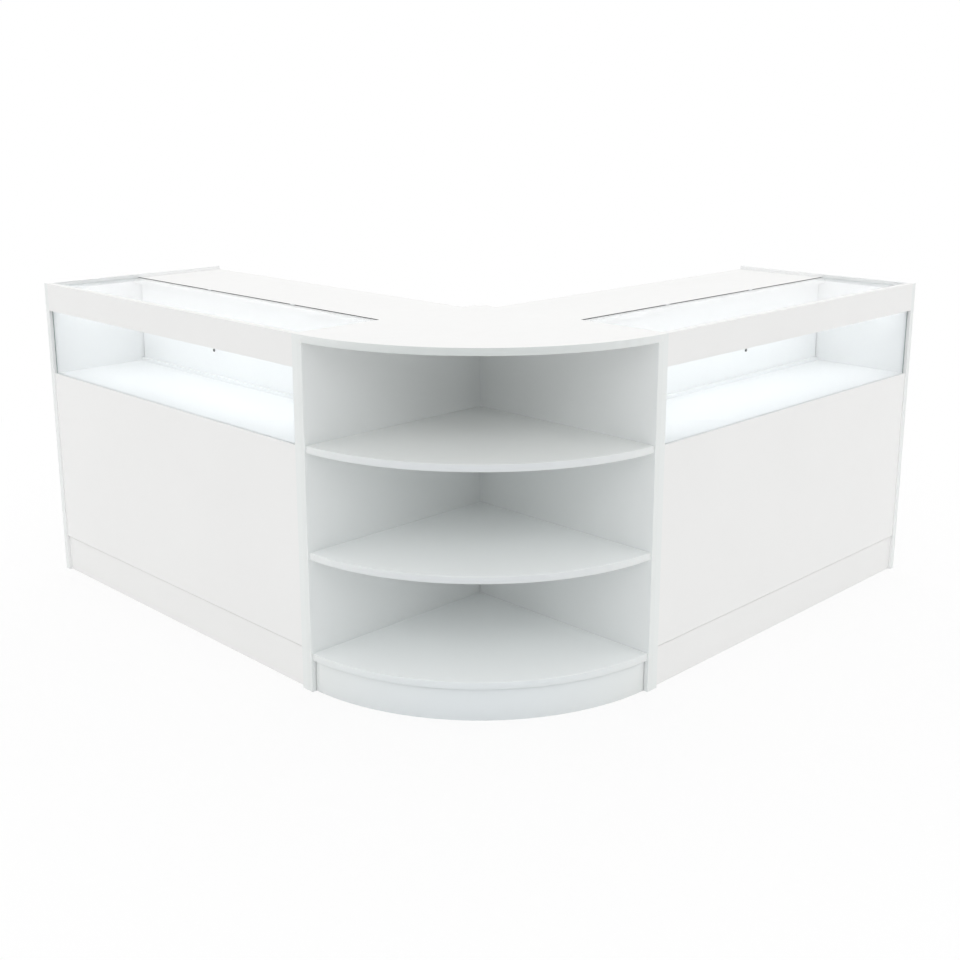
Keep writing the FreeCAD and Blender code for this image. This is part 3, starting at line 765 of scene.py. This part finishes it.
def add_lamp(name, place, aim, width, depth, power, colour, upright=UP):
    """A rectangular lamp, unseen itself, whose depth runs along upright."""
    data = bpy.data.lights.new(name, "AREA")
    data.shape = "RECTANGLE"
    data.size = width
    data.size_y = depth
    data.energy = power
    data.color = colour
    lamp = bpy.data.objects.new(name, data)
    across = upright.cross(-aim).normalized()
    lamp.matrix_world = Matrix.Translation(place) @ Matrix((
        across, (-aim).cross(across), -aim)).transposed().to_4x4()
    lamp.visible_camera = False
    lamp.visible_glossy = False
    lamp.visible_transmission = False
    bpy.context.scene.collection.objects.link(lamp)


class COUNTER_OT_flap_hardware(Operator):
    """Make the knobs and their screws, and finish the flaps' pivots"""

    bl_idname = "counter.flap_hardware"
    bl_label = "Flap Hardware"

    def execute(self, context):
        hardware = context.scene.counter_hardware
        satin = metal("satin_knob", hardware.knob_colour)
        dark = metal("dark_steel", hardware.dark_colour)
        bright = bright_steel(hardware)
        nylon = moulded("white_nylon", hardware.nylon_colour)
        for side in SIDES:
            inward = INTO_WING[side]
            body = FLAP_BODIES[side]
            work = bmesh.new()
            for low, high in solids_of(f"{side}_knobs"):
                self.add_knob(work, low, high, inward)
            new_piece(f"{side}_turned_knobs", work, body, "satin_knob", f"{side}_knobs", satin)
            work = bmesh.new()
            for low, high in solids_of(f"{side}_knob_screws"):
                add_screw(work, low, high, -inward, hardware)
            new_piece(f"{side}_pan_screws", work, body, "dark_steel", f"{side}_knob_screws", dark)
            dress(f"{side}_pivot_pins", bright, hardware.pin_rounding)
        dress("pivot_bushes", nylon, hardware.bush_rounding)
        return {"FINISHED"}

    def add_knob(self, work, low, high, outward):
        """A turned knob: a waisted stem and a head with a rolled rim and a shallow dish."""
        length = abs((high - low).dot(outward))
        radius = (high - low).z / 2
        shares = (
            (0.0, 0.0), (0.5, 0.0), (0.5, 0.03), (0.46, 0.07), (0.42, 0.15), (0.41, 0.25), (0.45, 0.33),
            (0.6, 0.38), (0.85, 0.4), (0.94, 0.42), (0.99, 0.47), (1.0, 0.54), (1.0, 0.72), (0.98, 0.82),
            (0.93, 0.91), (0.85, 0.97), (0.76, 1.0), (0.68, 0.995), (0.5, 0.975), (0.25, 0.962), (0.0, 0.96),
        )
        middle = (low + high) / 2
        base = middle - outward * length / 2
        profile = [(radius * across, length * along) for across, along in shares]
        add_turned(work, profile, facing(outward, base))


def add_screw(work, low, high, outward, hardware):
    """A pan-head screw with a cross recess, its head towards outward.

    The head's shares are of its radius, and of its height down from the top.
    """
    head_share = 0.55
    shank_share = 0.45
    tip_share = 0.6
    point_share = 0.5
    head_shares = ((1, 1), (1, 0.55), (0.95, 0.3), (0.85, 0.1), (0.72, 0))
    length = abs((high - low).dot(outward))
    head_radius = (high - low).z / 2
    head = head_radius * head_share
    shank = head_radius * shank_share
    tip = (low + high) / 2 - outward * length / 2
    profile = [(0, 0), (shank * tip_share, 0), (shank, shank * point_share), (shank, length - head)]
    profile += [(head_radius * across, length - head * down) for across, down in head_shares]
    matrix = facing(outward, tip)
    ring = add_turned(work, profile, matrix)
    reach = head_radius * hardware.recess_share
    add_cross_recess(work, ring, length, reach, head * hardware.recess_depth_share, matrix)


class COUNTER_OT_fasteners(Operator):
    """Make the cam locks and linking screws, and finish the pins, bolts and dowels"""

    bl_idname = "counter.fasteners"
    bl_label = "Fasteners"

    def execute(self, context):
        hardware = context.scene.counter_hardware
        bright = bright_steel(hardware)
        zinc = metal("cast_zinc", hardware.zinc_colour)
        work = bmesh.new()
        for low, high in solids_of("cam_locks"):
            self.add_cam(work, low, high, hardware)
        new_piece("cam_lock_discs", work, FIXED_BODY, "cast_zinc", "cam_locks", zinc)
        work = bmesh.new()
        for low, high in solids_of("linking_screws"):
            outward = INTO_WING["left"] if (high - low).x > (high - low).y else INTO_WING["right"]
            add_screw(work, low, high, outward, hardware)
        new_piece("linking_pan_screws", work, FIXED_BODY, "bright_steel", "linking_screws", bright)
        for node in ("cam_bolts", "shelf_pins"):
            dress(node, bright, hardware.pin_rounding)
        dress("corner_dowels", beech(hardware), hardware.dowel_rounding)
        return {"FINISHED"}

    def add_cam(self, work, low, high, hardware):
        """A cast disc with a raised rim and a cross recess, seen from under or behind its board."""
        rim_share = 0.12
        lip_share = 0.5
        lip_start_share = 1.6
        lip_end_share = 2
        size = high - low
        axis = min(range(3), key=lambda number: size[number])
        outward = -UP if axis == 2 else Vector(float(axis == number) for number in range(3))
        radius = max(size) / 2
        depth = size[axis]
        rim = radius * rim_share
        lip = rim * lip_share
        profile = [
            (0, 0), (radius - rim, 0), (radius, rim), (radius, depth - lip), (radius - lip, depth),
            (radius - rim * lip_start_share, depth), (radius - rim * lip_end_share, depth - lip),
        ]
        matrix = facing(outward, (low + high) / 2 - outward * depth / 2)
        ring = add_turned(work, profile, matrix)
        reach = radius * hardware.recess_share
        add_cross_recess(work, ring, depth - lip, reach, radius * hardware.recess_depth_share, matrix)


class COUNTER_OT_stage(Operator):
    """Set the floor, the studio light and the camera"""

    bl_idname = "counter.stage"
    bl_label = "Stage"

    def execute(self, context):
        stage = context.scene.counter_stage
        context.scene.view_settings.view_transform = "Standard"
        self.add_floor(context, stage)
        self.light_world(context, stage)
        add_softbox("top_softbox", stage.top_place, stage.top_target, stage.top_width, stage.top_power)
        place, target = stage.side_place, stage.side_target
        add_softbox("right_softbox", place, target, stage.side_width, stage.side_power)
        add_softbox("left_softbox", place.yxz, target.yxz, stage.side_width, stage.side_power)
        self.add_camera(context, stage)
        return {"FINISHED"}

    def add_camera(self, context, stage):
        data = bpy.data.cameras.new("photo_camera")
        data.lens = stage.focal_length
        data.shift_y = stage.frame_shift
        camera = bpy.data.objects.new("photo_camera", data)
        camera.location = (-stage.camera_distance, -stage.camera_distance, stage.camera_height)
        camera.rotation_euler = (math.pi / 2 - stage.camera_tilt, 0, -math.pi / 4)
        context.scene.collection.objects.link(camera)
        context.scene.camera = camera

    def add_floor(self, context, stage):
        """A pale floor that is white to the eye but keeps a soft shadow by the counter."""
        work = bmesh.new()
        bmesh.ops.create_grid(work, x_segments=1, y_segments=1, size=stage.floor_reach)
        mesh = bpy.data.meshes.new("studio_floor")
        work.to_mesh(mesh)
        work.free()
        floor = bpy.data.objects.new("studio_floor", mesh)
        floor.location.z = CAD_BOX[0].z - stage.floor_drop
        context.scene.collection.objects.link(floor)
        finish = new_finish("studio_floor")
        away = finish.node("ShaderNodeVectorMath", {0: finish.place()}, operation="LENGTH").outputs["Value"]
        shadow = finish.between(away, stage.shadow_share, 0, stage.shadow_start, stage.shadow_end)
        paint = finish.node("ShaderNodeBsdfDiffuse", {"Color": (stage.floor_share,) * 3}).outputs["BSDF"]
        white = finish.node("ShaderNodeEmission").outputs["Emission"]
        seen = seen_rays(finish)
        mesh.materials.append(finish.done(finish.mix(seen, paint, finish.mix(shadow, white, paint))))

    def light_world(self, context, stage):
        """Light in a ring half way up, with plain white behind whatever is looked at or through."""
        rise_shares = (0.2, 0.38)
        fade_shares = (0.62, 0.8)
        world = bpy.data.worlds.new("studio_world")
        finish = Finish(world)
        upward = finish.node("ShaderNodeTexCoord").outputs["Generated"]
        height = finish.node("ShaderNodeSeparateXYZ", {"Vector": upward}).outputs["Z"]
        rising = finish.between(height, stage.horizon_light, stage.ring_light, *rise_shares)
        fading = finish.between(height, 1, stage.zenith_share, *fade_shares)
        strength = finish.math("MULTIPLY", rising, fading)
        around = finish.node("ShaderNodeBackground", {"Strength": strength}).outputs["Background"]
        white = finish.node("ShaderNodeBackground").outputs["Background"]
        for background in (around, white):
            background.node.inputs["Color"].default_value = (1, 1, 1, 1)
        surface = finish.mix(seen_rays(finish), around, white)
        finish.node("ShaderNodeOutputWorld", {"Surface": surface})
        context.scene.world = world


def seen_rays(finish):
    """One for what the eye sees, straight or in glass and metal, and zero for light on its way round."""
    path = finish.node("ShaderNodeLightPath").outputs
    mirrored = finish.math("MAXIMUM", path["Is Glossy Ray"], path["Is Transmission Ray"])
    return finish.math("MAXIMUM", path["Is Camera Ray"], mirrored)


STEPS = (
    COUNTER_OT_wing_boards,
    COUNTER_OT_corner_boards,
    COUNTER_OT_glazing,
    COUNTER_OT_display_lights,
    COUNTER_OT_flap_hardware,
    COUNTER_OT_fasteners,
    COUNTER_OT_stage,
)
GROUPS = {
    "counter_boards": CounterBoards,
    "counter_glass": CounterGlass,
    "counter_hardware": CounterHardware,
    "counter_lights": CounterLights,
    "counter_stage": CounterStage,
}


class COUNTER_PT_sidebar(Panel):
    """Sizes, colours and steps of the counter"""

    bl_idname = "COUNTER_PT_sidebar"
    bl_label = "Counter"
    bl_space_type = "VIEW_3D"
    bl_region_type = "UI"
    bl_category = "Counter"

    def draw(self, context):
        for group in GROUPS:
            box = self.layout.box()
            settings = getattr(context.scene, group)
            for name in settings.__annotations__:
                box.prop(settings, name)
        for step in STEPS:
            self.layout.operator(step.bl_idname)


CLASSES = (*GROUPS.values(), *STEPS, COUNTER_PT_sidebar)


def register():
    for item in CLASSES:
        bpy.utils.register_class(item)
    for name, group in GROUPS.items():
        setattr(bpy.types.Scene, name, PointerProperty(type=group))


def unregister():
    for name in GROUPS:
        delattr(bpy.types.Scene, name)
    for item in reversed(CLASSES):
        bpy.utils.unregister_class(item)


def main():
    register()
    bpy.ops.counter.wing_boards()
    bpy.ops.counter.corner_boards()
    bpy.ops.counter.glazing()
    bpy.ops.counter.display_lights()
    bpy.ops.counter.flap_hardware()
    bpy.ops.counter.fasteners()
    bpy.ops.counter.stage()


if __name__ == "__main__":
    main()
